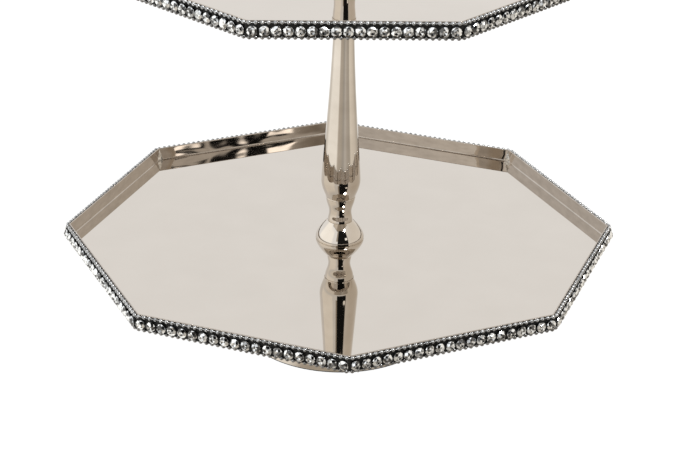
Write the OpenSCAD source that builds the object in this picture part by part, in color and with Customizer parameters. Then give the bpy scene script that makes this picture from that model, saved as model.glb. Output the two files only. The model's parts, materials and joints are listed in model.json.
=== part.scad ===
// Two-tier octagonal cake stand with jewelled rims, clamped together on one threaded rod.
// Origin: centre of the resting face. +Z up. The lower tray has a corner on -Y.

/* [Base] */
// Diameter of the bell foot at its rim
foot_d = 116; // [100:1:150]
// Height of the straight rim of the foot
foot_rim_h = 3.5; // [2:0.5:6]
// Height of the foot's flat crown above the ground
crown_z = 46; // [40:1:48]
// Diameter of the foot's flat crown
crown_d = 26; // [24:1:34]
// Thickness of the spun metal of the foot
foot_wall = 1.2; // [1:0.1:2]
// Thickness of the felt under the foot
felt_t = 0.8; // [0.5:0.1:2]

/* [Trays] */
// Height of the lower tray's floor above the ground
lower_floor_z = 61; // [56:1:75]
// Distance between the two tray floors
tier_gap = 175; // [160:1:220]
// Width of the lower tray across its flats, inside the wall
lower_w = 296; // [240:1:340]
// Width of the upper tray across its flats, inside the wall
upper_w = 259; // [180:1:300]
// Thickness of the tray floors
floor_t = 1.2; // [1:0.1:2]
// Thickness of the tray walls
wall_t = 0.8; // [0.6:0.1:1.2]
// Height of the tray walls above the floor
wall_h = 8; // [6:0.5:12]
// Turn of the upper tray against the lower one
upper_turn = 22.5; // [0:0.5:45]
// Width of the solder gussets along the floor in the corners
gusset_w = 5; // [3:0.5:8]

/* [Trim] */
// Thickness of the blackened strip that carries the trim
strip_t = 1; // [0.8:0.1:1.5]
// Distance between the centres of the two beaded wires
wire_gap = 7.8; // [7.8:0.1:9]
// How far the upper beaded wire stands above the wall's rim
wire_rise = 0.3; // [0:0.1:0.8]
// Diameter of the beaded wires
bead_d = 2.3; // [2:0.1:2.3]
// How far the beaded wires stand out from the strip
bead_out = 1.3; // [1.2:0.1:1.3]
// Diameter of a stone in its cup
stone_d = 5.8; // [5:0.1:5.8]
// How far the stones stand out from the strip
stone_out = 2.8; // [2:0.1:3.5]
// Stones on each side of the lower tray
lower_stones_n = 20; // [14:1:20]
// Stones on each side of the upper tray
upper_stones_n = 18; // [10:1:18]

/* [Column] */
// Diameter of the domes at the feet of the column and the handle
dome_d = 28.8; // [24:0.2:30]
// Height of those domes
dome_h = 11.5; // [11:0.5:13]
// Diameter of the column's neck, above the dome
neck_d = 13.3; // [12:0.1:14]
// Height of the neck's narrowest point above the tray floor
neck_z = 17; // [15:0.5:20]
// Diameter of the ring under the bulb
ring_d = 17.8; // [16:0.2:19]
// Height of that ring above the tray floor
ring_z = 26.4; // [23:0.2:28]
// Diameter of the column's bulb
bulb_d = 23.3; // [18:0.1:28]
// Height of the bulb's widest point above the tray floor
bulb_z = 38; // [32:1:50]
// Diameter of the column at its top
column_top_d = 11; // [10.5:0.5:14]
// Height of the collar under the upper tray
collar_h = 7; // [5:0.5:12]

/* [Handle] */
// Diameter of the handle's stem at its narrowest
stem_d = 12.2; // [11:0.1:14]
// Height of the stem's top joint above the tray floor
stem_top = 36; // [30:1:42]
// Diameter of the handle's grip at its widest
grip_d = 22; // [18:0.5:28]
// Height of the grip's top above the tray floor
grip_top = 90; // [80:1:110]
// Diameter of the ball knob
knob_d = 22; // [18:0.5:28]

/* [Rod] */
// Diameter of the threaded rod
rod_d = 6; // [5:1:6]
// Radial gap between the rod and the pieces on it
rod_gap = 0.05; // [0.03:0.01:0.1]
// Length of thread inside the handle's stem
thread_l = 7; // [5:1:9]
// Thickness of the soft washers
washer_t = 1; // [0.8:0.1:1.5]

/* [Hidden] */
$fn = 96;

silver = [0.80, 0.77, 0.73];
black = [0.07, 0.07, 0.07];
clear = [0.90, 0.92, 0.95];
steel = [0.60, 0.60, 0.60];

sides = 8;
half_side = 180 / sides;
steps = 24;                              // straight pieces in each curved outline
eps = 0.01;

bore_d = rod_d + 2 * rod_gap;
upper_floor_z = lower_floor_z + tier_gap;
handle_z = upper_floor_z;                // the handle's own heights start here

felt_inset = 1;                          // from the foot's rim to the edge of the felt
plate_t = 1;                             // steel plate that closes the foot
plate_gap = 0.05;                        // radial gap round it
nut_h = 5;
nut_w = 10;                              // across flats
nut_washer_t = 1.6;
nut_washer_d = 12;
crown_t = 2;
washer_d = 18;
collar_flare = 0.75;                     // a collar's waist, against its ends
collar_inset = 1;                        // from the crown's edge to the collar on it
collar_step = 1.5;                       // from the column's top to the edge of its collar
dome_edge = 1;                           // upright edge at the foot of a dome
spigot_d = 5;
spigot_l = 6;
spigot_gap = 0.05;
spigot_room = 0.5;                       // free space beyond a spigot's end
stone_gap = 0.15;                        // between the last stone and the corner
stone_drop = 4.2;                        // stones' centre line, below the upper wire's centre
cup_d = 4;                               // a stone's cup at the strip
cup_h = 1.35;                            // height at which the cup reaches the stone's full diameter
mitre_gap = 0.05;                        // between a length of beaded wire and the corner

nut_top = crown_z - crown_t - nut_washer_t;
rod_past_nut = 2;
rod_bottom = nut_top - nut_h - rod_past_nut;
rod_top = handle_z + washer_t + dome_h + thread_l;
stem_base = washer_t + dome_h;           // the stem stands on its dome
thread_room = 2;                         // free space above the rod's end
waist_z = 30;                            // narrowest point of the stem, above the tray floor
grip_mid = stem_top + 22;                // widest point of the grip
seam_r = stem_d / 2 + 0.8;               // at both ends of the grip
neck_end_r = neck_d / 2 + 0.7;           // where a neck meets its dome
dome_top_r = neck_end_r + 0.2;
neck_ring_h = 0.8;                       // height of the ring under the bulb
neck_ring_out = 0.3;                     // how far it stands out

// 0 to 1 with a level start and end
function ease(t) = (1 - cos(180 * t)) / 2;
// from 1 down to 0: level at the start, flatter towards the end
function fall(t) = pow(1 - pow(t, 1.15), 2);
// outline from [r0, z0] to [r1, z1], eased along the axis
function eased(r0, z0, r1, z1) = [for (i = [0:steps]) let (t = i / steps)
    [r0 + (r1 - r0) * ease(t), z0 + (z1 - z0) * t]];
// distance from the centre to a corner, for a given half width across the flats
function corner(half_w) = half_w / cos(half_side);
// length of one side, for a given half width across the flats
function side(half_w) = 2 * half_w * tan(half_side);

// Outline of the bell foot from its rim to its crown, moved inwards by d:
// downwards at the rim and sideways at the crown
function bell(d) = [for (i = [0:steps]) let (
    t = i / steps,
    z0 = felt_t + foot_rim_h,
    r = crown_d / 2 + (foot_d - crown_d) / 2 * pow(1 - t, 2.2),
    z = z0 + (crown_z - z0) * t)
    [min(r - d * t, foot_d / 2 - d), z - d * (1 - t)]];

module turned(outline) {
    rotate_extrude() polygon(concat([[0, outline[0][1]]], outline, [[0, outline[len(outline) - 1][1]]]));
}

module bored(from, to) {
    difference() {
        children();
        translate([0, 0, from - eps]) cylinder(h = to - from + 2 * eps, d = bore_d);
    }
}

// Soft washer on the rod, with its lower face at z
module soft_washer(z) {
    bored(z, z + washer_t) translate([0, 0, z]) cylinder(h = washer_t, d = washer_d);
}

// Waisted collar between two heights
module collar(z0, z1, r0, r1) {
    mid = (z0 + z1) / 2;
    waist = min(r0, r1) * collar_flare;
    bored(z0, z1) turned(concat(eased(r0, z0, waist, mid), eased(waist, mid, r1, z1)));
}

// Dome that stands at z: upright at its edge, then closing in as 1 - t^1.5 towards the next piece
module dome(z) {
    body = [for (i = [0:steps]) let (t = i / steps)
        [dome_top_r + (dome_d / 2 - dome_top_r) * (1 - pow(t, 1.5)),
         z + dome_edge + (dome_h - dome_edge) * t]];
    bored(z, z + dome_h) turned(concat([[dome_d / 2, z]], body));
}

// Closed eight-sided ring, half_w across the inner flats
module ring(half_w, t, z, h) {
    translate([0, 0, z]) difference() {
        cylinder(h = h, r = corner(half_w + t), $fn = sides);
        translate([0, 0, -eps]) cylinder(h = h + 2 * eps, r = corner(half_w), $fn = sides);
    }
}

module tray_floor(half_w, z) {
    bored(z - floor_t, z) translate([0, 0, z - floor_t])
        cylinder(h = floor_t, r = corner(half_w + wall_t), $fn = sides);
}

// Solder gussets: a wedge in each inside corner, wide at the floor and ending at the rim
module gussets(half_w, z) {
    reach = gusset_w / 2 * tan(half_side);
    for (i = [0:sides - 1]) rotate(i * 360 / sides) intersection() {
        translate([0, 0, z]) cylinder(h = wall_h, r = corner(half_w), $fn = sides);
        translate([corner(half_w), gusset_w, z]) rotate([90, 0, 0])
            linear_extrude(2 * gusset_w) polygon([[-reach, 0], [1, 0], [1, wall_h], [0, wall_h]]);
    }
}

// Beaded wire on the outside of the strip: one mitred length on each side, with its centre at height z
module bead_wire(half_w, z) {
    centre = half_w + bead_out - bead_d / 2;
    outer = half_w + bead_out + 1;
    in_l = side(half_w) / 2 - mitre_gap;
    out_l = side(outer) / 2 - mitre_gap;
    for (i = [0:sides - 1]) rotate((i + 0.5) * 360 / sides) intersection() {
        translate([centre, 0, z]) rotate([90, 0, 0]) cylinder(h = side(outer), d = bead_d, center = true);
        translate([0, 0, z - bead_d]) linear_extrude(2 * bead_d)
            polygon([[half_w, -in_l], [outer, -out_l], [outer, out_l], [half_w, in_l]]);
    }
}

// Stones along each side, each one on a cup that tapers back to the strip
module stones(half_w, n, z) {
    pitch = (side(half_w) - stone_d - 2 * stone_gap) / (n - 1);
    for (i = [0:sides - 1], k = [0:n - 1]) rotate((i + 0.5) * 360 / sides)
        translate([half_w, (k - (n - 1) / 2) * pitch, z]) rotate([0, 90, 0])
            rotate_extrude($fn = 24) polygon([[0, 0], [cup_d / 2, 0], [stone_d / 2, cup_h],
                [stone_d / 2, stone_out], [0, stone_out]]);
}

strip_in = wall_t;                       // the strip lies on the outside of the wall
trim_in = wall_t + strip_t;              // the trim stands on the outside of the strip
wire_top = wall_h + wire_rise - bead_d / 2;   // centres of the two wires and of the stones,
wire_low = wire_top - wire_gap;               // above the tray floor
stones_z = wire_top - stone_drop;

module felt_pad() { color(black) cylinder(h = felt_t, d = foot_d - 2 * felt_inset); }

module base_plate() {
    color(steel) translate([0, 0, felt_t]) cylinder(h = plate_t, d = foot_d - 2 * (foot_wall + plate_gap));
}

module base_foot() {
    r = foot_d / 2;
    inner = bell(foot_wall);
    under = crown_z - crown_t;
    outline = concat([[r - foot_wall, felt_t], [r, felt_t]], bell(0),
        [[bore_d / 2, crown_z], [bore_d / 2, under], [crown_d / 2 - foot_wall, under]],
        [for (i = [steps - 2:-1:0]) inner[i]]);
    color(silver) rotate_extrude() polygon(outline);
}

module base_washer() {
    color(steel) bored(nut_top, nut_top + nut_washer_t)
        translate([0, 0, nut_top]) cylinder(h = nut_washer_t, d = nut_washer_d);
}

module base_nut() {
    z = nut_top - nut_h;
    color(steel) bored(z, nut_top)
        translate([0, 0, z]) cylinder(h = nut_h, r = nut_w / 2 / cos(30), $fn = 6);
}

module tie_rod() {
    color(steel) translate([0, 0, rod_bottom]) cylinder(h = rod_top - rod_bottom, d = rod_d);
}

module base_collar() {
    end_r = crown_d / 2 - collar_inset;
    color(silver) collar(crown_z, lower_floor_z - floor_t - washer_t, end_r, end_r);
}

module lower_washer() { color(black) soft_washer(lower_floor_z - floor_t - washer_t); }
module lower_tray_floor() { color(silver) tray_floor(lower_w / 2, lower_floor_z); }
module lower_tray_wall() { color(silver) ring(lower_w / 2, wall_t, lower_floor_z, wall_h); }
module lower_gussets() { color(silver) gussets(lower_w / 2, lower_floor_z); }
module lower_band_strip() {
    color(black) ring(lower_w / 2 + strip_in, strip_t, lower_floor_z + wire_low, wire_gap);
}
module lower_bead_wire_top() {
    color(silver) bead_wire(lower_w / 2 + trim_in, lower_floor_z + wire_top);
}
module lower_bead_wire_bottom() {
    color(silver) bead_wire(lower_w / 2 + trim_in, lower_floor_z + wire_low);
}
module lower_stones() {
    color(clear) stones(lower_w / 2 + trim_in, lower_stones_n, lower_floor_z + stones_z);
}

module column_dome() { color(silver) dome(lower_floor_z); }

module column() {
    z = lower_floor_z;
    top = tier_gap - floor_t - washer_t - collar_h;
    ring_r = ring_d / 2;
    seat_r = ring_r - neck_ring_out;     // the neck and the bulb at the ring
    seat_z = ring_z + neck_ring_h;
    color(silver) bored(z + dome_h, z + top) turned(concat(
        eased(neck_end_r, z + dome_h, neck_d / 2, z + neck_z),
        eased(neck_d / 2, z + neck_z, seat_r, z + ring_z),
        [[ring_r, z + ring_z], [ring_r, z + seat_z]],
        [for (i = [0:steps - 1]) let (t = i / steps)
            [seat_r + (bulb_d / 2 - seat_r) * sin(90 * t), z + seat_z + (bulb_z - seat_z) * t]],
        [[bulb_d / 2, z + bulb_z]],
        [for (i = [1:steps]) let (t = i / steps)
            [column_top_d / 2 + (bulb_d - column_top_d) / 2 * fall(t), z + bulb_z + (top - bulb_z) * t]]));
}

module column_collar() {
    top = upper_floor_z - floor_t - washer_t;
    color(silver) collar(top - collar_h, top, column_top_d / 2 + collar_step, washer_d / 2);
}

module upper_washer() { color(black) soft_washer(upper_floor_z - floor_t - washer_t); }
module upper_tray_floor() { color(silver) rotate(upper_turn) tray_floor(upper_w / 2, upper_floor_z); }
module upper_tray_wall() {
    color(silver) rotate(upper_turn) ring(upper_w / 2, wall_t, upper_floor_z, wall_h);
}
module upper_gussets() { color(silver) rotate(upper_turn) gussets(upper_w / 2, upper_floor_z); }
module upper_band_strip() {
    color(black) rotate(upper_turn) ring(upper_w / 2 + strip_in, strip_t, upper_floor_z + wire_low, wire_gap);
}
module upper_bead_wire_top() {
    color(silver) rotate(upper_turn) bead_wire(upper_w / 2 + trim_in, upper_floor_z + wire_top);
}
module upper_bead_wire_bottom() {
    color(silver) rotate(upper_turn) bead_wire(upper_w / 2 + trim_in, upper_floor_z + wire_low);
}
module upper_stones() {
    color(clear) rotate(upper_turn)
        stones(upper_w / 2 + trim_in, upper_stones_n, upper_floor_z + stones_z);
}

module handle_washer() { color(black) soft_washer(handle_z); }
module handle_dome() { color(silver) dome(handle_z + washer_t); }

module handle_stem() {
    z = handle_z;
    color(silver) difference() {
        union() {
            turned(concat(eased(neck_end_r, z + stem_base, stem_d / 2, z + waist_z),
                eased(stem_d / 2, z + waist_z, seam_r, z + stem_top)));
            translate([0, 0, z + stem_top - eps]) cylinder(h = spigot_l + eps, d = spigot_d);
        }
        translate([0, 0, z + stem_base - eps]) cylinder(h = thread_l + thread_room + eps, d = bore_d);
    }
}

// Socket for a spigot, with its mouth at z
module socket(z) {
    translate([0, 0, z - eps]) cylinder(h = spigot_l + spigot_room + eps, d = spigot_d + 2 * spigot_gap);
}

module handle_grip() {
    z = handle_z;
    color(silver) difference() {
        union() {
            turned(concat(eased(seam_r, z + stem_top, grip_d / 2, z + grip_mid),
                eased(grip_d / 2, z + grip_mid, seam_r, z + grip_top)));
            translate([0, 0, z + grip_top - eps]) cylinder(h = spigot_l + eps, d = spigot_d);
        }
        socket(z + stem_top);
    }
}

module handle_knob() {
    centre = sqrt(pow(knob_d / 2, 2) - pow(seam_r, 2));
    z = handle_z + grip_top;
    color(silver) difference() {
        translate([0, 0, z + centre]) sphere(d = knob_d);
        translate([0, 0, z - knob_d]) cylinder(h = knob_d, d = knob_d);
        socket(z);
    }
}

felt_pad();
base_plate();
base_foot();
base_nut();
base_washer();
tie_rod();
base_collar();
lower_washer();
lower_tray_floor();
lower_tray_wall();
lower_gussets();
lower_band_strip();
lower_bead_wire_top();
lower_bead_wire_bottom();
lower_stones();
column_dome();
column();
column_collar();
upper_washer();
upper_tray_floor();
upper_tray_wall();
upper_gussets();
upper_band_strip();
upper_bead_wire_top();
upper_bead_wire_bottom();
upper_stones();
handle_washer();
handle_dome();
handle_stem();
handle_grip();
handle_knob();
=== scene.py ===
import json
import bmesh
import bpy
import numpy as np
from mathutils import Matrix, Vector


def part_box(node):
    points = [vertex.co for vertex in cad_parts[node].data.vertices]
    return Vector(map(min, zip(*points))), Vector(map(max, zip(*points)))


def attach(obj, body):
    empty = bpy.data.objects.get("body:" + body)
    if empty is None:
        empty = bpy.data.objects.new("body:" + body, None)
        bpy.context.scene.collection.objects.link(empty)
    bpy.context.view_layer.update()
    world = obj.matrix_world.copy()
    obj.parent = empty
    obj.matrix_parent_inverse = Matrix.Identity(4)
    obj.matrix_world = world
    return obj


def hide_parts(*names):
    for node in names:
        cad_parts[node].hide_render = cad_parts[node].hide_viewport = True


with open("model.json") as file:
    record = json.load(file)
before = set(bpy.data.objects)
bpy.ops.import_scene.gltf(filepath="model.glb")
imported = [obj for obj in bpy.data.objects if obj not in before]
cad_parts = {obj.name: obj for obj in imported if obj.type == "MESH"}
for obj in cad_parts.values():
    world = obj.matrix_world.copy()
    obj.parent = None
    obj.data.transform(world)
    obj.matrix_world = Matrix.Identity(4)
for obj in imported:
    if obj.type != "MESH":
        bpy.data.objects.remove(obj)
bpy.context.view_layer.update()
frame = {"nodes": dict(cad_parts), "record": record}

print("frame loaded:", len(frame["nodes"]), "nodes")
mm = 0.001
sides = 8
halfSide = np.pi / sides
mergeDistance = 1e-7
rng = np.random.default_rng(8)


def makePiece(name, verts, faces, body, node, crease=35.0, faceMaterial=None, spark=None):
    # Arrays become one mesh: doubled points at poles and seams are merged, an edge left on the axis without
    # faces goes, and edges past crease degrees stay sharp.
    mesh = bpy.data.meshes.new(name)
    mesh.from_pydata(verts.reshape(-1, 3).tolist(), [], faces)
    if faceMaterial is not None:
        mesh.polygons.foreach_set("material_index", faceMaterial.astype(np.int32))
    if spark is not None:
        mesh.attributes.new("spark", "FLOAT", "FACE").data.foreach_set("value", spark.astype(np.float32))
    work = bmesh.new()
    work.from_mesh(mesh)
    bmesh.ops.remove_doubles(work, verts=work.verts, dist=mergeDistance)
    bmesh.ops.delete(work, geom=[edge for edge in work.edges if edge.is_wire], context="EDGES")
    work.to_mesh(mesh)
    work.free()
    mesh.polygons.foreach_set("use_smooth", np.ones(len(mesh.polygons), bool))
    mesh.set_sharp_from_angle(angle=np.radians(crease))
    piece = bpy.data.objects.new(name, mesh)
    bpy.context.scene.collection.objects.link(piece)
    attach(piece, body)
    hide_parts(node)
    return piece


def loopFaces(rings, points):
    # Quads of a surface closed both ways: ring k meets ring k+1, and point j meets point j+1.
    k, j = np.meshgrid(np.arange(rings), np.arange(points), indexing="ij")
    kn, jn = (k + 1) % rings, (j + 1) % points
    quads = np.stack([k * points + j, kn * points + j, kn * points + jn, k * points + jn], -1)
    return quads.reshape(-1, 4).tolist()


def turned(name, outline, body, node, around=128):
    # Solid of revolution: (r cos a, r sin a, z), with the outline taken counter-clockwise in r and z.
    r, z = np.asarray(outline, float).T
    a = np.linspace(0, 2 * np.pi, around, endpoint=False)[:, None]
    verts = np.stack([r * np.cos(a), r * np.sin(a), z + 0 * a], -1) * mm
    piece = makePiece(name, verts, loopFaces(around, len(r)), body, node)
    dress(piece, "plate")


def roundedOctagon(half, radius, turn, arc=6):
    # Corner arcs joined by straight sides: arc centre plus radius times a normal that swings 45 degrees.
    corner = (np.arange(sides) * 2 * halfSide + turn)[:, None]
    swing = corner + np.linspace(-halfSide, halfSide, arc)
    normal = np.stack([np.cos(swing), np.sin(swing)], -1)
    centre = np.stack([np.cos(corner), np.sin(corner)], -1) * (half - radius) / np.cos(halfSide)
    return (centre + radius * normal).reshape(-1, 2), normal.reshape(-1, 2)


def carried(name, profile, half, turn, body, node, dark=0):
    # A closed profile of (outward, up) carried round the octagon: path point plus outward times the normal.
    # The first faces of the profile, as many as dark says, take the second material.
    path, normal = roundedOctagon(half, trimLook["cornerRound"], turn)
    out, up = np.asarray(profile, float).T
    flat = path[:, None] + normal[:, None] * out[None, :, None]
    verts = np.concatenate([flat, np.broadcast_to(up[None, :, None], flat.shape[:2] + (1,))], -1) * mm
    kinds = np.tile(np.arange(len(out)) < dark, len(path))
    return makePiece(name, verts, loopFaces(len(path), len(out)), body, node, faceMaterial=kinds)


def ease(t):
    return (1 - np.cos(np.pi * t)) / 2        # level at both ends


def fall(t):
    return (1 - t ** 1.15) ** 2               # from 1 to 0, level at the start


def eased(r0, z0, r1, z1, steps=32):
    # From one radius to another, level at both ends, while the height climbs evenly.
    t = np.linspace(0, 1, steps)
    return np.stack([r0 + (r1 - r0) * ease(t), z0 + (z1 - z0) * t], 1)


def ball(radius, centreZ, z0, steps=40):
    # Sphere from height z0 to the top pole: radius times sine and cosine of the polar angle.
    a = np.linspace(np.arccos((centreZ - z0) / radius), np.pi, steps)
    return np.stack([radius * np.sin(a), centreZ - radius * np.cos(a)], 1)


def bevelled(outline, size):
    # First and last points of an open outline are pulled in a little, so that the end edges catch light.
    o = np.array(outline, float)
    low, high = o[0].copy(), o[-1].copy()
    return np.vstack([[low[0] - size, low[1]], [low[0], low[1] + size], o[1:-1],
                      [high[0], high[1] - size], [max(high[0] - size, 0), high[1]]])


def bored(outline, r):
    # A round hole of radius r right through an open outline.
    return np.vstack([[r, outline[0][1]], outline, [r, outline[-1][1]]])


def zRange(node):
    low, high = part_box(node)
    return low.z / mm, high.z / mm


def width(node):
    low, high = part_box(node)
    return (high.x - low.x) / mm


rodRoom = 0.05                                # gap between the rod and each bore, mm
boreR = width("tie_rod") / 2 + rodRoom


def feed(tree, value, socket):
    # A socket takes another node's output, or else a plain value.
    if hasattr(value, "links"):
        tree.links.new(value, socket)
    else:
        socket.default_value = value


def groupTree(name, inputs, outputs):
    tree = bpy.data.node_groups.new(name, "ShaderNodeTree")
    for key, value in inputs.items():
        kind = "NodeSocketVector" if value is None else "NodeSocketFloat"
        socket = tree.interface.new_socket(name=key, in_out="INPUT", socket_type=kind)
        if value is not None:
            socket.default_value = value
    for key in outputs:
        tree.interface.new_socket(name=key, in_out="OUTPUT", socket_type="NodeSocketFloat")
    return tree, tree.nodes.new("NodeGroupInput"), tree.nodes.new("NodeGroupOutput")


def mathNode(tree, operation, a, b):
    node = tree.nodes.new("ShaderNodeMath")
    node.operation = operation
    feed(tree, a, node.inputs[0])
    feed(tree, b, node.inputs[1])
    return node.outputs[0]


def noiseNode(tree, vector, scale, detail):
    node = tree.nodes.new("ShaderNodeTexNoise")
    for key, value in (("Detail", detail), ("Vector", vector), ("Scale", scale)):
        feed(tree, value, node.inputs[key])
    return node.outputs["Fac"]


def stretched(tree, vector, stretch):
    node = tree.nodes.new("ShaderNodeMapping")
    feed(tree, stretch, node.inputs["Scale"])
    feed(tree, vector, node.inputs["Vector"])
    return node.outputs["Vector"]


noiseDetail = {"wave": 1.0, "haze": 6.0, "fine": 8.0, "coarse": 3.0, "coarser": 12.0}


def makePolishGroup():
    # Hand polish: broad waves in the sheet give the height, and rubbed haze the roughness and the tone.
    tree, put, out = groupTree("polish", {"Vector": None, "Wave scale": 12.0, "Haze scale": 60.0,
                                          "Haze": 0.03, "Roughness": 0.04}, ("Height", "Roughness", "Tone"))
    vector = put.outputs["Vector"]
    feed(tree, noiseNode(tree, vector, put.outputs["Wave scale"], noiseDetail["wave"]), out.inputs["Height"])
    haze = noiseNode(tree, vector, put.outputs["Haze scale"], noiseDetail["haze"])
    rubbed = mathNode(tree, "MULTIPLY", haze, put.outputs["Haze"])
    feed(tree, mathNode(tree, "ADD", rubbed, put.outputs["Roughness"]), out.inputs["Roughness"])
    feed(tree, haze, out.inputs["Tone"])
    return tree


def makeFibreGroup():
    # Short fibres or grain: fine noise times coarse noise gives the tone, and the fine alone the height.
    tree, put, out = groupTree("fibre", {"Vector": None, "Scale": 900.0}, ("Height", "Tone"))
    vector, scale = put.outputs["Vector"], put.outputs["Scale"]
    fine = noiseNode(tree, vector, scale, noiseDetail["fine"])
    coarse = noiseNode(tree, vector, mathNode(tree, "DIVIDE", scale, noiseDetail["coarser"]),
                       noiseDetail["coarse"])
    feed(tree, fine, out.inputs["Height"])
    feed(tree, mathNode(tree, "MULTIPLY", fine, coarse), out.inputs["Tone"])
    return tree


polishGroup = makePolishGroup()
fibreGroup = makeFibreGroup()


def newMaterial(name):
    material = bpy.data.materials.new(name)
    material.use_nodes = True
    tree = material.node_tree
    return material, tree, tree.nodes["Principled BSDF"]


def objectCoords(tree):
    return tree.nodes.new("ShaderNodeTexCoord").outputs["Object"]


toneSpan = (0.3, 0.7)


def toneRamp(tree, tone, low, high, target):
    ramp = tree.nodes.new("ShaderNodeValToRGB")
    for element, spot, colour in zip(ramp.color_ramp.elements, toneSpan, (low, high)):
        element.color = (*colour, 1)
        element.position = spot
    feed(tree, tone, ramp.inputs["Fac"])
    feed(tree, ramp.outputs["Color"], target)


def bump(tree, height, distance, shader):
    node = tree.nodes.new("ShaderNodeBump")
    node.inputs["Distance"].default_value = distance
    feed(tree, height, node.inputs["Height"])
    feed(tree, node.outputs["Normal"], shader.inputs["Normal"])


def placeGroup(tree, group, look):
    node = tree.nodes.new("ShaderNodeGroup")
    node.node_tree = group
    feed(tree, stretched(tree, objectCoords(tree), look["stretch"]), node.inputs["Vector"])
    return node


def nickel(name, look):
    material, tree, shader = newMaterial(name)
    shader.inputs["Metallic"].default_value = 1.0
    polish = placeGroup(tree, polishGroup, look)
    for key in ("Wave scale", "Haze scale", "Haze", "Roughness"):
        polish.inputs[key].default_value = look[key]
    toneRamp(tree, polish.outputs["Tone"], look["dull"], look["bright"], shader.inputs["Base Color"])
    feed(tree, polish.outputs["Roughness"], shader.inputs["Roughness"])
    bump(tree, polish.outputs["Height"], look["wave"], shader)
    return material


def fibrous(name, look):
    material, tree, shader = newMaterial(name)
    shader.inputs["Metallic"].default_value = look["metallic"]
    shader.inputs["Roughness"].default_value = look["roughness"]
    grain = placeGroup(tree, fibreGroup, look)
    grain.inputs["Scale"].default_value = look["scale"]
    toneRamp(tree, grain.outputs["Tone"], look["dark"], look["light"], shader.inputs["Base Color"])
    bump(tree, grain.outputs["Height"], look["depth"], shader)
    return material


stoneTones = {"dark": (0.09, 0.09, 0.09), "light": (0.95, 0.98, 1.0), "roughness": 0.1, "coat": 0.6,
              "spread": 0.75}


def stoneMaterial():
    # Painted reflection: each facet's base colour is a random tone from dark to light, standing in for the
    # share of light that foil-backed glass returns.
    material, tree, shader = newMaterial("stone")
    look = stoneTones
    facet = tree.nodes.new("ShaderNodeAttribute")
    facet.attribute_name = "spark"
    toneRamp(tree, facet.outputs["Fac"], look["dark"], look["light"], shader.inputs["Base Color"])
    shader.inputs["Metallic"].default_value = 1.0
    shader.inputs["Coat Weight"].default_value = look["coat"]
    shader.inputs["Roughness"].default_value = look["roughness"]
    return material


even = (1, 1, 1)
beadPolish = {"stretch": even, "Wave scale": 60.0, "Haze scale": 300.0, "Haze": 0.15, "Roughness": 0.18,
              "wave": 0.00002}
finishes = {
    "plate": nickel("plate", {
        "dull": (0.62, 0.57, 0.51), "bright": (0.70, 0.65, 0.59), "stretch": even,
        "Wave scale": 25.0, "Haze scale": 90.0, "Haze": 0.03, "Roughness": 0.02, "wave": 0.00005}),
    "mirror_floor": nickel("mirrorFloor", {
        "dull": (0.626, 0.580, 0.527), "bright": (0.645, 0.599, 0.546), "stretch": even,
        "Wave scale": 9.0, "Haze scale": 35.0, "Haze": 0.02, "Roughness": 0.01, "wave": 0.00012}),
    "tray_wall": nickel("trayWall", {
        "dull": (0.45, 0.405, 0.36), "bright": (0.54, 0.49, 0.44), "stretch": (1, 1, 2.5),
        "Wave scale": 30.0, "Haze scale": 140.0, "Haze": 0.03, "Roughness": 0.01, "wave": 0.0003}),
    "solder": nickel("solder", {
        "dull": (0.06, 0.05, 0.04), "bright": (0.92, 0.90, 0.86), "stretch": even,
        "Wave scale": 200.0, "Haze scale": 420.0, "Haze": 0.1, "Roughness": 0.05, "wave": 0.0016}),
    "beads": nickel("beads", {"dull": (0.26, 0.27, 0.28), "bright": (0.56, 0.57, 0.58), **beadPolish}),
    # Painted shade: the lower bead row takes this darker copy of the bead finish, standing in for the shade
    # it sits in.
    "beads_low": nickel("beadsPaintedShade", {"dull": (0.14, 0.14, 0.14), "bright": (0.38, 0.38, 0.38), **beadPolish}),
    "blackened": fibrous("blackened", {
        "dark": (0.006, 0.006, 0.006), "light": (0.03, 0.029, 0.027), "metallic": 0.3, "roughness": 0.45,
        "stretch": even, "scale": 500.0, "depth": 0.0001}),
    "steel": fibrous("steel", {
        "dark": (0.35, 0.35, 0.35), "light": (0.62, 0.62, 0.62), "metallic": 1.0, "roughness": 0.3,
        "stretch": (1, 1, 8), "scale": 400.0, "depth": 0.00005}),
    "washer": fibrous("washer", {
        "dark": (0.008, 0.008, 0.008), "light": (0.035, 0.035, 0.035), "metallic": 0.0, "roughness": 0.7,
        "stretch": even, "scale": 700.0, "depth": 0.0001}),
    "felt": fibrous("felt", {
        "dark": (0.004, 0.004, 0.004), "light": (0.04, 0.04, 0.04), "metallic": 0.0, "roughness": 0.95,
        "stretch": even, "scale": 1500.0, "depth": 0.0004}),
    "stones": stoneMaterial()}


def dress(piece, *names):
    piece.data.materials.clear()
    for name in names:
        piece.data.materials.append(finishes[name])


for entry in frame["record"]["subparts"]:
    finish = "solder" if "gussets" in entry["node"] else entry["material_slot"]
    dress(frame["nodes"][entry["node"]], finish)
print("materials made")


footLook = {"wall": 1.2, "rimHeight": 3.5, "crownWidth": 26.0, "crownThick": 2.0, "edge": 0.5, "power": 2.2,
            "steps": 60, "outside": 2, "inside": (2, 56), "around": 160}


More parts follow.
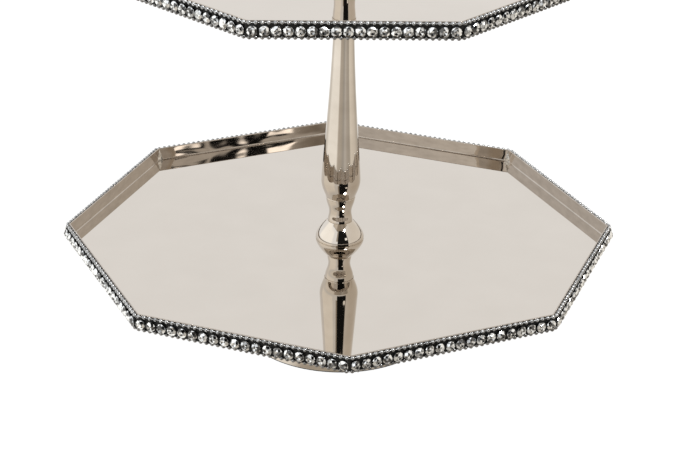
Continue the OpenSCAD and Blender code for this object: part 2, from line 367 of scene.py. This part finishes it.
def makeFoot():
    # Bell: crown radius plus the rest times (1-t)^power, with an inner skin one wall below it. Both skins
    # leave out their first steps, and the inner one its last, so that they stay clear of the edges.
    f = footLook
    low, high = zRange("base_foot")
    r, wall, edge, crown = width("base_foot") / 2, f["wall"], f["edge"], f["crownWidth"] / 2
    rim = low + f["rimHeight"]
    t = np.linspace(0, 1, f["steps"])
    outR = crown + (r - crown) * (1 - t) ** f["power"]
    outZ = rim + (high - rim) * t
    inner = np.stack([np.minimum(outR - wall * t, r - wall), outZ - wall * (1 - t)], 1)
    inner = inner[slice(*f["inside"])][::-1]
    under = high - f["crownThick"]
    outline = np.vstack([[r - wall, low], [r - edge, low], [r, low + edge], [r, rim - edge],
                         [r - edge, rim], np.stack([outR, outZ], 1)[f["outside"]:],
                         [boreR, high], [boreR, under], [crown - wall, under], inner])
    turned("baseFoot", outline, "base", "base_foot", f["around"])


domeLook = {"edge": 1.0, "top": 7.55, "power": 1.5, "bevel": 0.2, "steps": 40}


def makeDome(part, body):
    # Top radius plus the rest times 1 - t^power, over an upright edge.
    node = part + "_dome"
    low, high = zRange(node)
    r, edge, top, bevel = width(node) / 2, domeLook["edge"], domeLook["top"], domeLook["bevel"]
    t = np.linspace(0, 1, domeLook["steps"])
    curve = np.stack([top + (r - top) * (1 - t ** domeLook["power"]),
                      low + edge + (high - low - edge) * t], 1)
    outline = np.vstack([[r - bevel, low], [r, low + bevel], curve])
    turned(part + "Dome", bored(outline, boreR), body, node)


columnLook = {"neckEnd": 7.35, "neck": 6.65, "neckZ": 17.0, "ring": 8.9, "ringOut": 0.3, "ringZ": 26.4,
              "ringTop": 27.2, "ringBevel": (0.12, 0.15), "bulbZ": 38.0, "top": 5.5, "edge": 0.15,
              "steps": 90, "around": 160}


def makeColumn():
    # Eased neck, a small ring, a bulb whose underside follows a sine, and a taper that follows fall(t).
    # The heights are above the lower tray's floor, and one point in three is enough for the underside.
    c = columnLook
    low, high = zRange("column")
    r, seat, floorZ = width("column") / 2, c["ring"] - c["ringOut"], zRange("lower_tray_floor")[1]
    neckZ, ringZ, ringTop, bulbZ = (floorZ + c[key] for key in ("neckZ", "ringZ", "ringTop", "bulbZ"))
    t = np.linspace(0, 1, c["steps"])
    under = np.stack([seat + (r - seat) * np.sin(np.pi / 2 * t), ringTop + (bulbZ - ringTop) * t], 1)
    taper = np.stack([c["top"] + (r - c["top"]) * fall(t), bulbZ + (high - bulbZ) * t], 1)
    inset, rise = c["ringBevel"]
    ring = [[c["ring"] - inset, ringZ], [c["ring"], ringZ + rise],
            [c["ring"], ringTop - rise], [c["ring"] - inset, ringTop]]
    outline = np.vstack([eased(c["neckEnd"], low, c["neck"], neckZ, 16),
                         eased(c["neck"], neckZ, seat, ringZ)[1:], ring, under[::3], taper[1:]])
    turned("columnShaft", bored(bevelled(outline, c["edge"]), boreR), "base", "column", c["around"])


collarLook = {"base": (12.0, 12.0), "column": (7.0, 9.0), "flare": 0.75, "edge": 0.2}


def makeCollar(part):
    # Eased from each end's radius to a waist half way up, which is flare times the narrower end.
    node = part + "_collar"
    low, high = zRange(node)
    r0, r1 = collarLook[part]
    mid, waist = (low + high) / 2, min(r0, r1) * collarLook["flare"]
    outline = np.vstack([eased(r0, low, waist, mid), eased(waist, mid, r1, high)[1:]])
    turned(part + "Collar", bored(bevelled(outline, collarLook["edge"]), boreR), "base", node)


handleLook = {"stem": 6.1, "foot": 7.45, "seam": 6.9, "seamEdge": 0.3, "waist": 16.0, "threadRoom": 9.0,
              "spigot": 2.5, "spigotLength": 6.0, "socket": 2.55, "room": 6.5, "gripWiden": 22.0}


def makeHandle():
    # Eased stem, grip and ball knob. Each has a spigot on top that stands in the next one's socket.
    h = handleLook
    low, high = zRange("handle_stem")
    seamZ = high - h["spigotLength"]
    waistZ = low + h["waist"]
    outline = np.vstack([[boreR, low], eased(h["foot"], low, h["stem"], waistZ),
                         eased(h["stem"], waistZ, h["seam"] - h["seamEdge"], seamZ)[1:],
                         [h["spigot"], seamZ], [h["spigot"], high], [0, high],
                         [0, low + h["threadRoom"]], [boreR, low + h["threadRoom"]]])
    turned("handleStem", outline, "handle", "handle_stem")

    low, high = zRange("handle_grip")
    gripTop = high - h["spigotLength"]
    mid, r = low + h["gripWiden"], width("handle_grip") / 2
    body = np.vstack([eased(h["seam"], low, r, mid, 50), eased(r, mid, h["seam"], gripTop, 70)[1:]])
    outline = np.vstack([[h["socket"], low], bevelled(body, h["seamEdge"]), [h["spigot"], gripTop],
                         [h["spigot"], high], [0, high],
                         [0, low + h["room"]], [h["socket"], low + h["room"]]])
    turned("handleGrip", outline, "handle", "handle_grip")

    low, high = zRange("handle_knob")
    r = width("handle_knob") / 2
    outline = np.vstack([[h["socket"], low], ball(r, high - r, low), [0, low + h["room"]],
                         [h["socket"], low + h["room"]]])
    turned("handleKnob", outline, "handle", "handle_knob")


makeFoot()
makeDome("column", "base")
makeDome("handle", "handle")
makeColumn()
makeCollar("base")
makeCollar("column")
makeHandle()
print("turned pieces made")


trays = {
    "lower": {"turn": 0.0, "stones": 20, "beads": 37},
    "upper": {"turn": halfSide, "stones": 18, "beads": 33}}
trimLook = {"wall": 0.8, "wallOut": 0.001, "fillet": 0.8, "keep": 0.1, "darkLip": 4, "cornerRound": 0.002,
            "strip": 1.0, "stripEdge": 0.2, "beadOut": 1.3, "neck": 0.3, "beadAround": 12, "beadCrease": 80,
            "stoneOut": 2.8, "cornerGap": 0.15}


def halfWidth(name):
    # The floor's size along X gives its half width across the flats. The wall stands inside that edge.
    low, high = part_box(name + "_tray_floor")
    spread = (high.x - low.x) / 2 / mm
    if name == "lower":
        spread *= np.cos(halfSide)
    return spread - trimLook["wall"]


def makeWall(name, half, tray):
    # Rounded lip on top, and a quarter-circle fillet of solder where the wall meets the floor. A line just
    # inside each of them keeps the face between them flat. Outside, the wall and half of its lip are
    # blackened like the strip, and show between the beads.
    low, high = zRange(name + "_tray_wall")
    wall, f, keep = trimLook["wall"], trimLook["fillet"], trimLook["keep"]
    r = wall / 2
    a = np.linspace(0, np.pi, 8)
    lip = np.stack([r + r * np.cos(a), high - r + r * np.sin(a)], 1)
    seam = np.stack([f * np.cos(a / 2) - f, low + f - f * np.sin(a / 2)], 1)
    flat = [[0, high - r - keep], [0, low + f + keep]]
    profile = np.vstack([[wall, low], lip, flat, seam])
    piece = carried(name + "Wall", profile, half + trimLook["wallOut"], tray["turn"], name + "_tray",
                    name + "_tray_wall", trimLook["darkLip"])
    dress(piece, "tray_wall", "blackened")


def makeStrip(name, half, tray):
    # A flat strip outside the wall, with its upper outer edge cut off.
    low, high = zRange(name + "_band_strip")
    inner, outer, edge = trimLook["wall"], trimLook["wall"] + trimLook["strip"], trimLook["stripEdge"]
    profile = [[outer, low], [outer, high - edge], [outer - edge, high], [inner, high], [inner, low]]
    piece = carried(name + "Strip", profile, half, tray["turn"], name + "_tray",
                    name + "_band_strip")
    dress(piece, "blackened")


def makeBeads(name, half, tray, row):
    # Beaded wire: its radius is sqrt(R^2 - s^2) over each bead and the neck's between them. Necks meet at the
    # corners, and the faces at each neck take the blackened finish as painted shade between the beads.
    node = f"{name}_bead_wire_{row}"
    low, high = zRange(node)
    r = (high - low) / 2
    centre = half + trimLook["wall"] + trimLook["strip"] + trimLook["beadOut"] - r
    length = 2 * centre * np.tan(halfSide)
    pitch = length / tray["beads"]
    reach = np.sqrt(r ** 2 - trimLook["neck"] ** 2)
    s = np.concatenate([[-pitch / 2], reach * np.sin(np.linspace(-np.pi / 2, np.pi / 2, 9))])
    thick = np.maximum(np.sqrt(np.maximum(r ** 2 - s ** 2, 0)), trimLook["neck"])
    along = (-length / 2 + pitch / 2 + pitch * np.arange(tray["beads"])[:, None] + s).ravel()
    thick = np.tile(thick, tray["beads"])
    face = (np.arange(sides) + 0.5) * 2 * halfSide + tray["turn"]
    normal = np.stack([np.cos(face), np.sin(face)], 1)[:, None]
    tangent = np.stack([-np.sin(face), np.cos(face)], 1)[:, None]
    path = normal * centre + tangent * along[None, :, None]
    outward = np.repeat(normal, len(along), 1)
    before = face - halfSide
    outward[:, 0] = np.stack([np.cos(before), np.sin(before)], 1)
    phi = np.linspace(0, 2 * np.pi, trimLook["beadAround"], endpoint=False)
    flat = path[:, :, None] + outward[:, :, None] * (thick[None, :, None] * np.cos(phi))[..., None]
    up = np.broadcast_to((low + r + thick[:, None] * np.sin(phi))[None], flat.shape[:3])
    verts = np.concatenate([flat, up[..., None]], -1) * mm
    rings = np.arange(sides * len(along)) % len(s)
    # The neck faces are marked for the blackened finish: painted shade between the beads.
    kinds = np.repeat((rings == 0) | (rings == len(s) - 1), len(phi))
    piece = makePiece(name + "Beads" + row.capitalize(), verts, loopFaces(len(rings), len(phi)),
                      name + "_tray", node, trimLook["beadCrease"], kinds)
    # The lower row takes the darker copy of the bead finish, which is painted shade.
    dress(piece, "beads" if row == "top" else "beads_low", "blackened")


stoneLook = {"fold": 6, "girdle": 2.85, "girdleOut": 1.5, "shoulder": 2.3, "shoulderOut": 2.2, "table": 1.4,
             "dip": 0.5, "cupBack": 2.0, "cup": 2.9, "cupOut": 1.35, "tip": 0.06, "crease": 1}


def stoneTemplate():
    # Rings of points about the stone's axis: cup back, cup lip, girdle, shoulder, table, and a dipped centre.
    # Faces join each ring to the next, as one array for each kind of face.
    k = stoneLook
    n = k["fold"]
    i, j = np.arange(2 * n), (np.arange(2 * n) + 1) % (2 * n)
    p, q = np.arange(n), (np.arange(n) + 1) % n
    top = trimLook["stoneOut"]

    def ring(angle, r, out):
        return np.stack([r * np.cos(angle), r * np.sin(angle), out + 0 * angle], 1)

    points = np.vstack([ring(i * np.pi / n, k["cupBack"], 0), ring(i * np.pi / n, k["cup"], k["cupOut"]),
                        ring(i * np.pi / n, k["girdle"], k["girdleOut"]),
                        ring((2 * p + 1) * np.pi / n, k["shoulder"], k["shoulderOut"]),
                        ring(2 * p * np.pi / n, k["table"], top), [[0, 0, top - k["dip"]]]])
    lip, girdle, mid, flat, centre = 2 * n, 4 * n, 6 * n, 7 * n, 8 * n + 0 * p
    cup = [i[::-1][None], np.stack([i, j, lip + j, lip + i], 1),
           np.stack([lip + i, lip + j, girdle + j, girdle + i], 1)]
    kite = np.stack([mid + (p - 1) % n, girdle + 2 * p, mid + p, flat + p], 1)
    threes = [[girdle + 2 * p, girdle + 2 * p + 1, mid + p], [girdle + 2 * p + 1, girdle + 2 * q, mid + p],
              [flat + p, mid + p, flat + q], [flat + p, flat + q, centre]]
    return points, cup, [kite] + [np.stack(three, 1) for three in threes]


def makeStones(name, half, tray):
    # Each stone is the template turned by its own angle and tipped a little, set along the side at equal
    # steps. Cup faces take the second material, and each facet takes a random painted tone for its share of
    # light.
    node = name + "_stones"
    low, high = zRange(node)
    points, cup, stone = stoneTemplate()
    backing = half + trimLook["wall"] + trimLook["strip"]
    length = 2 * backing * np.tan(halfSide)
    n = tray["stones"]
    step = (length - (high - low) - 2 * trimLook["cornerGap"]) / (n - 1)
    face = np.repeat((np.arange(sides) + 0.5) * 2 * halfSide + tray["turn"], n)
    along = np.tile((np.arange(n) - (n - 1) / 2) * step, sides)
    count = len(face)
    spin = rng.uniform(0, 2 * np.pi, count)[:, None]
    x = points[:, 0] * np.cos(spin) - points[:, 1] * np.sin(spin)
    y = points[:, 0] * np.sin(spin) + points[:, 1] * np.cos(spin)
    crown = points[:, 2] > stoneLook["girdleOut"]
    tip = rng.uniform(-stoneLook["tip"], stoneLook["tip"], (2, count, 1)) * crown
    out = points[:, 2] * (1 - 0 * spin) + np.minimum(tip[0] * x + tip[1] * y, 0)
    sideways = along[:, None] + x
    verts = np.stack([np.cos(face)[:, None] * (backing + out) - np.sin(face)[:, None] * sideways,
                      np.sin(face)[:, None] * (backing + out) + np.cos(face)[:, None] * sideways,
                      (low + high) / 2 + y], -1) * mm
    start = np.arange(count)[:, None, None] * len(points)
    faces = sum(((start + part).reshape(-1, part.shape[1]).tolist() for part in cup + stone), [])
    kinds = np.repeat([1, 0], [count * sum(map(len, cup)), count * sum(map(len, stone))])
    # Painted reflection: a random share of light for each facet, which the stone material reads.
    spark = rng.beta(stoneTones["spread"], stoneTones["spread"], len(faces))
    piece = makePiece(name + "Stones", verts, faces, name + "_tray", node, stoneLook["crease"],
                      kinds, spark)
    dress(piece, "stones", "blackened")


for trayName, trayLook in trays.items():
    inside = halfWidth(trayName)
    makeWall(trayName, inside, trayLook)
    makeStrip(trayName, inside, trayLook)
    makeBeads(trayName, inside, trayLook, "top")
    makeBeads(trayName, inside, trayLook, "bottom")
    makeStones(trayName, inside, trayLook)
    print("tray trimmed:", trayName, round(inside * 2, 1), "mm across flats")


# Angles are degrees from -Y towards +X, and heights are the z of a direction. The ground's tones go by angle.
studio = {"floorSize": 12.0, "floorPaint": (0.05, 0.05, 0.05, 1), "white": (1.0, 1.0, 1.0),
          "warm": (0.82, 0.76, 0.68), "warmFrom": (0.15, 0.9), "left": (1.25, 1.22, 1.16),
          "leftPatch": ((-118, -40), (0.1, 0.75)), "leftSoft": (6, 0.08), "room": (0.42, 0.37, 0.31),
          "dark": (0.012, 0.012, 0.012), "glint": (3.2, 3.1, 3.0), "strength": 1.05,
          "ground": [(-180, (1.0, 1.0, 1.0)), (-125, (0.70, 0.66, 0.60)), (-100, (1.08, 1.05, 0.99)),
                     (-34, (1.05, 1.01, 0.94)), (-25, (0.50, 0.44, 0.37)), (-6, (0.44, 0.39, 0.32)),
                     (8, (0.37, 0.34, 0.30)), (20, (0.54, 0.50, 0.45)), (34, (0.44, 0.39, 0.33)),
                     (50, (0.40, 0.36, 0.30)), (60, (0.83, 0.76, 0.66)), (95, (0.72, 0.65, 0.56)),
                     (125, (0.48, 0.43, 0.36)), (160, (1.0, 1.0, 1.0))]}


def azimuthOf(tree, x, y):
    # Degrees from -Y towards +X.
    radians = mathNode(tree, "ARCTAN2", x, mathNode(tree, "MULTIPLY", y, -1.0))
    return mathNode(tree, "MULTIPLY", radians, 180 / np.pi)


def turnShare(tree, degrees):
    # -180 to 180 degrees onto 0 to 1.
    return mathNode(tree, "DIVIDE", mathNode(tree, "ADD", degrees, 180.0), 360.0)


def smoothMask(tree, value, low, high):
    # 0 at low and 1 at high, eased between.
    node = tree.nodes.new("ShaderNodeMapRange")
    node.interpolation_type = "SMOOTHSTEP"
    node.inputs["From Min"].default_value = low
    node.inputs["From Max"].default_value = high
    feed(tree, value, node.inputs["Value"])
    return node.outputs["Result"]


def between(tree, value, low, high, soft):
    # 1 between low and high, fading over soft at both ends.
    rising = smoothMask(tree, value, low - soft, low + soft)
    return mathNode(tree, "MULTIPLY", rising, smoothMask(tree, value, high + soft, high - soft))


def blendColour(tree, mask, below, above):
    node = tree.nodes.new("ShaderNodeMix")
    node.data_type = "RGBA"
    feed(tree, mask, node.inputs["Factor"])
    for socket, value in ((node.inputs[6], below), (node.inputs[7], above)):
        feed(tree, value if hasattr(value, "links") else (*value, 1), socket)
    return node.outputs[2]


def makeFloor():
    # Plain white to the eye. Polished metal mirrors the ground's own tone, which changes with azimuth.
    half = studio["floorSize"] / 2
    corners = [(-half, -half, 0), (half, -half, 0), (half, half, 0), (-half, half, 0)]
    mesh = bpy.data.meshes.new("studioFloor")
    mesh.from_pydata(corners, [], [(0, 1, 2, 3)])
    floor = bpy.data.objects.new("studioFloor", mesh)
    bpy.context.scene.collection.objects.link(floor)
    material, tree, shader = newMaterial("paleFloor")
    split = tree.nodes.new("ShaderNodeSeparateXYZ")
    feed(tree, objectCoords(tree), split.inputs[0])
    ramp = tree.nodes.new("ShaderNodeValToRGB")
    feed(tree, turnShare(tree, azimuthOf(tree, *split.outputs[:2])), ramp.inputs["Fac"])
    first, *inner, last = studio["ground"]
    for spot, colour in inner:
        ramp.color_ramp.elements.new((spot + 180) / 360).color = (*colour, 1)
    ramp.color_ramp.elements[0].color = (*first[1], 1)
    ramp.color_ramp.elements[-1].color = (*last[1], 1)
    ramp.color_ramp.elements[-1].position = (last[0] + 180) / 360
    seen = tree.nodes.new("ShaderNodeLightPath").outputs["Is Camera Ray"]
    tone = blendColour(tree, seen, ramp.outputs["Color"], studio["white"])
    feed(tree, tone, shader.inputs["Emission Color"])
    shader.inputs["Emission Strength"].default_value = 1.0
    shader.inputs["Base Color"].default_value = studio["floorPaint"]
    shader.inputs["Roughness"].default_value = 1.0
    shader.inputs["Specular IOR Level"].default_value = 0.0
    mesh.materials.append(material)


darkShape = {"room": ((-20, 42), (0.37, 0.90)), "black": ((-12, 40), (0.41, 0.86)), "soft": (1.0, 0.02),
             "deep": ((-12, 40), (0.05, 0.43)), "deepFrom": 1.5,
             "windows": [((26, 38), (0.44, 0.56))], "windowSoft": (1.0, 0.01),
             "marks": [((42.6, 44.0), (0.375, 0.420)), ((44.4, 45.8), (0.370, 0.410))],
             "glints": [((42.3, 43.0), (0.388, 0.408)), ((44.8, 45.4), (0.378, 0.402))],
             "markSoft": (0.15, 0.003)}


def makeWorld():
    # A white tent: brighter on the left, warmer on the right, and open on the camera's side to a dim room
    # with a black shape in it, a window, and small marks and glints. Where Ray Depth is above deepFrom, the
    # black shape also reaches almost down to the ground. The tray floors mirror that part from behind.
    world = bpy.data.worlds.new("studio")
    bpy.context.scene.world = world
    world.use_nodes = True
    tree = world.node_tree
    direction = tree.nodes.new("ShaderNodeTexCoord").outputs["Generated"]
    split = tree.nodes.new("ShaderNodeSeparateXYZ")
    feed(tree, direction, split.inputs[0])
    x, y, z = split.outputs
    azimuth = azimuthOf(tree, x, y)

    def patch(area, soft):
        across = between(tree, azimuth, *area[0], soft[0])
        return mathNode(tree, "MULTIPLY", across, between(tree, z, *area[1], soft[1]))

    colour = blendColour(tree, smoothMask(tree, x, *studio["warmFrom"]), studio["white"], studio["warm"])
    colour = blendColour(tree, patch(studio["leftPatch"], studio["leftSoft"]), colour, studio["left"])
    for key, tone in (("room", "room"), ("black", "dark")):
        colour = blendColour(tree, patch(darkShape[key], darkShape["soft"]), colour, studio[tone])
    path = tree.nodes.new("ShaderNodeLightPath")
    deep = mathNode(tree, "GREATER_THAN", path.outputs["Ray Depth"], darkShape["deepFrom"])
    spot = mathNode(tree, "MULTIPLY", deep, patch(darkShape["deep"], darkShape["soft"]))
    colour = blendColour(tree, spot, colour, studio["dark"])
    for key, tone, soft in (("windows", "left", "windowSoft"), ("marks", "dark", "markSoft"),
                            ("glints", "glint", "markSoft")):
        for area in darkShape[key]:
            colour = blendColour(tree, patch(area, darkShape[soft]), colour, studio[tone])
    colour = blendColour(tree, path.outputs["Is Camera Ray"], colour, studio["white"])
    background = tree.nodes["Background"]
    feed(tree, colour, background.inputs["Color"])
    background.inputs["Strength"].default_value = studio["strength"]


softboxes = {
    "windowLight": {"place": (0.52, -0.80, 1.4), "size": 0.3, "power": 13.0, "mirrored": True},
    "topLight": {"place": (-0.9, 0.3, 1.9), "size": 1.2, "power": 22.0, "mirrored": False}}
lightAim = (0, 0, 0.15)


def makeLights():
    # Round area lights, each with its back along the line from the aim to its place.
    for name, look in softboxes.items():
        data = bpy.data.lights.new(name, "AREA")
        data.shape = "DISK"
        data.size = look["size"]
        data.energy = look["power"]
        light = bpy.data.objects.new(name, data)
        place = np.array(look["place"])
        back = (place - lightAim) / np.linalg.norm(place - lightAim)
        right = np.cross([0, 0, 1], back)
        right /= np.linalg.norm(right)
        turn = np.eye(4)
        turn[:3, :3] = np.stack([right, np.cross(back, right), back], 1)
        turn[:3, 3] = place
        light.matrix_world = Matrix(turn.tolist())
        light.visible_glossy = look["mirrored"]
        bpy.context.scene.collection.objects.link(light)


view = {"azimuth": 2.30, "elevation": 25.42, "distance": 1.1996, "lens": 103.3, "pan": -0.29, "tilt": 0.25,
        "roll": 1.16, "sensor": 36.0, "far": 50.0}


def makeCamera():
    # The camera looks at the middle of the lower rim, then pans, tilts and rolls by small angles.
    angles = [view[key] for key in ("azimuth", "elevation", "pan", "tilt", "roll")]
    (ca, ce, cp, ct, cr), (sa, se, sp, st, sr) = np.cos(np.radians(angles)), np.sin(np.radians(angles))
    aim = np.array([0, 0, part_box("lower_tray_wall")[1].z])
    away = np.array([-sa * ce, -ca * ce, se])
    right = np.array([ca, -sa, 0])
    level = np.stack([right, -np.cross(right, -away), -away])
    panned = np.array([[cp, 0, sp], [0, 1, 0], [-sp, 0, cp]])
    tilted = np.array([[1, 0, 0], [0, ct, -st], [0, st, ct]])
    rolled = np.array([[cr, -sr, 0], [sr, cr, 0], [0, 0, 1]])
    axes = rolled @ tilted @ panned @ level
    place = np.eye(4)
    place[:3, :3] = np.stack([axes[0], -axes[1], -axes[2]], 1)
    place[:3, 3] = aim + away * view["distance"]
    data = bpy.data.cameras.new("camera")
    data.sensor_width = view["sensor"]
    data.lens = view["lens"]
    data.clip_end = view["far"]
    camera = bpy.data.objects.new("camera", data)
    camera.matrix_world = Matrix(place.tolist())
    bpy.context.scene.collection.objects.link(camera)
    bpy.context.scene.camera = camera


makeFloor()
makeWorld()
makeLights()
makeCamera()
bpy.context.scene.view_settings.view_transform = "Standard"
print("studio made")
